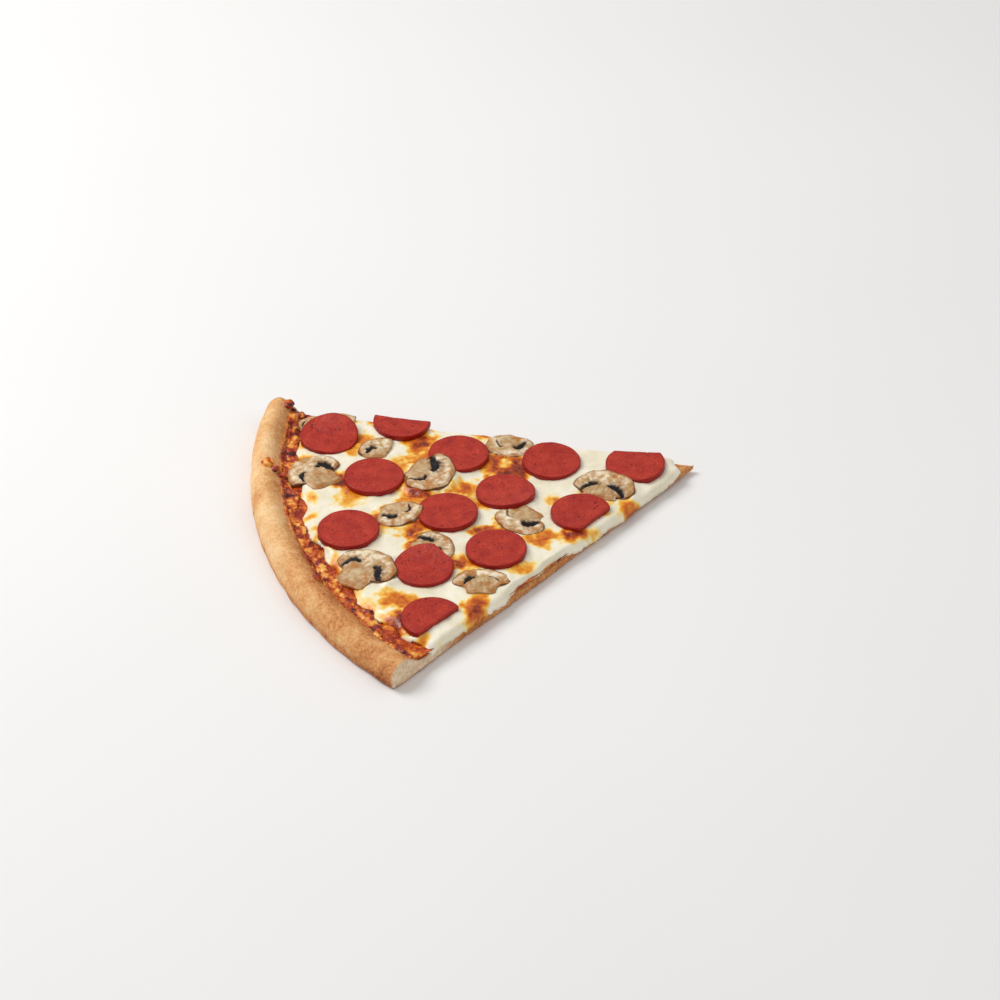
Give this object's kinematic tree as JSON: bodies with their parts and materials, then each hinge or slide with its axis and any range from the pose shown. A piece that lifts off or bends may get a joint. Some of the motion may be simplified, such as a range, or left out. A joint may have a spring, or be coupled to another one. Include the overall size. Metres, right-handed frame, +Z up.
{
  "type": "pizza slice",
  "caption": "Wedge slice of thin-based pizza with a raised browned rim, tomato sauce, melted cheese, sausage slices and sliced mushrooms.",
  "frame": {"origin": "on the table under the middle of the slice: the bounding box's bottom centre", "axes": "+Z up, +X along the slice's centre line from the rim to the tip, +Y across the slice, towards the left cut side for someone who looks from the rim to the tip"},
  "size_m": [0.2, 0.2, 0.0172],
  "materials": {
    "baked_dough": "golden brown baked bread, matte",
    "tomato_sauce": "baked tomato sauce, moist and browned",
    "melted_cheese": "creamy white melted cheese, soft gloss, browned in patches",
    "smoked_sausage": "dusty red smoked sausage, soft sheen",
    "baked_mushroom": "pale beige baked mushroom with dark gills, satin"
  },
  "bodies": {
    "root": {"dough": "baked_dough", "sauce": "tomato_sauce", "cheese": "melted_cheese", "sausage_01": "smoked_sausage", "sausage_02": "smoked_sausage", "sausage_03": "smoked_sausage", "sausage_04": "smoked_sausage", "sausage_05": "smoked_sausage", "sausage_06": "smoked_sausage", "sausage_07": "smoked_sausage", "sausage_08": "smoked_sausage", "sausage_09": "smoked_sausage", "sausage_10": "smoked_sausage", "sausage_11": "smoked_sausage", "sausage_12": "smoked_sausage", "sausage_13": "smoked_sausage", "mushroom_01": "baked_mushroom", "mushroom_02": "baked_mushroom", "mushroom_03": "baked_mushroom", "mushroom_04": "baked_mushroom", "mushroom_05": "baked_mushroom", "mushroom_06": "baked_mushroom", "mushroom_07": "baked_mushroom", "mushroom_08": "baked_mushroom", "mushroom_09": "baked_mushroom", "mushroom_10": "baked_mushroom", "mushroom_11": "baked_mushroom", "mushroom_12": "baked_mushroom"}
  },
  "joints": []
}
